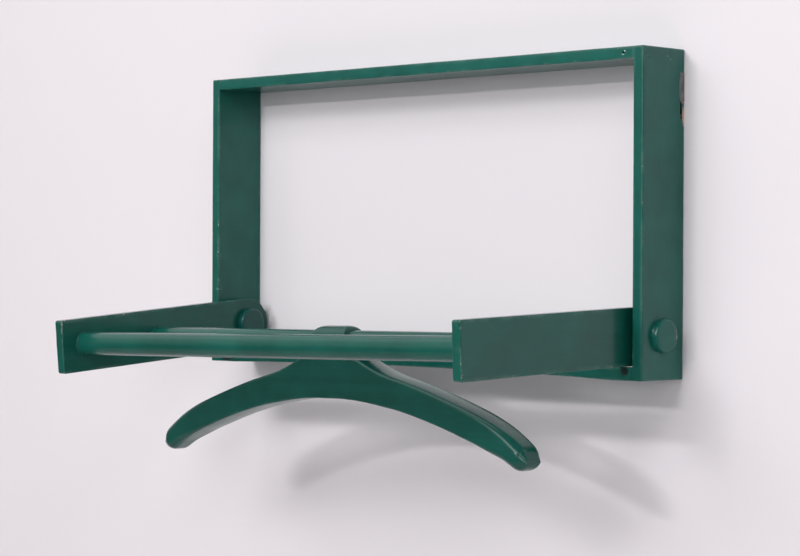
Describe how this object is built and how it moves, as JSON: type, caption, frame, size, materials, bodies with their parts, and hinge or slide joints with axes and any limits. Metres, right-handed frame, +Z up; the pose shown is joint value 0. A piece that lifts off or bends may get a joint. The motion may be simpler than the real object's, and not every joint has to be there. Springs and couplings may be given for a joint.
{
  "type": "wall-mounted folding valet",
  "caption": "Shallow painted wooden wall frame with side arms that fold up into it, carrying round trouser rods and a shaped wooden coat hanger.",
  "frame": {"origin": "on the wall plane, midway between the round openings of the two hanging keyholes", "axes": "+X to the right along the frame's width, +Z up, +Y into the wall, so the valet's front faces -Y"},
  "size_m": [0.5316, 0.2446, 0.3408],
  "materials": {
    "green_paint": "hand-painted semi-gloss green lacquer on wood, lightly worn at the edges",
    "plate_steel": "dull zinc-plated steel strip",
    "pin_steel": "dull steel wire"
  },
  "bodies": {
    "wall_frame": {"top_rail": "green_paint", "bottom_rail": "green_paint", "left_stile": "green_paint", "right_stile": "green_paint", "frame_pins": "pin_steel", "left_peg": "green_paint", "right_peg": "green_paint", "left_peg_cap": "green_paint", "right_peg_cap": "green_paint", "left_spacer": "green_paint", "right_spacer": "green_paint", "left_wall_plate": "plate_steel", "right_wall_plate": "plate_steel", "plate_screws": "pin_steel"},
    "folding_arms": {"left_arm": "green_paint", "right_arm": "green_paint", "front_rod": "green_paint", "rear_rod": "green_paint"},
    "hanger": {"coat_hanger": "green_paint"}
  },
  "joints": [
    {"name": "arm_fold", "type": "hinge", "parent": "wall_frame", "child": "folding_arms", "pos_m": [0, -0.026, -0.1754], "axis": [-1, 0, 0], "range_deg": [0, 92.6]},
    {"name": "hanger_swing", "type": "hinge", "parent": "folding_arms", "child": "hanger", "pos_m": [0.001, -0.13561, -0.18481], "axis": [-0.9999, 0.0009, -0.0101], "range_deg": [-92.6, 0]}
  ],
  "couplings": [
    {"joint": "hanger_swing", "follows": "arm_fold", "ratio": -1}
  ]
}
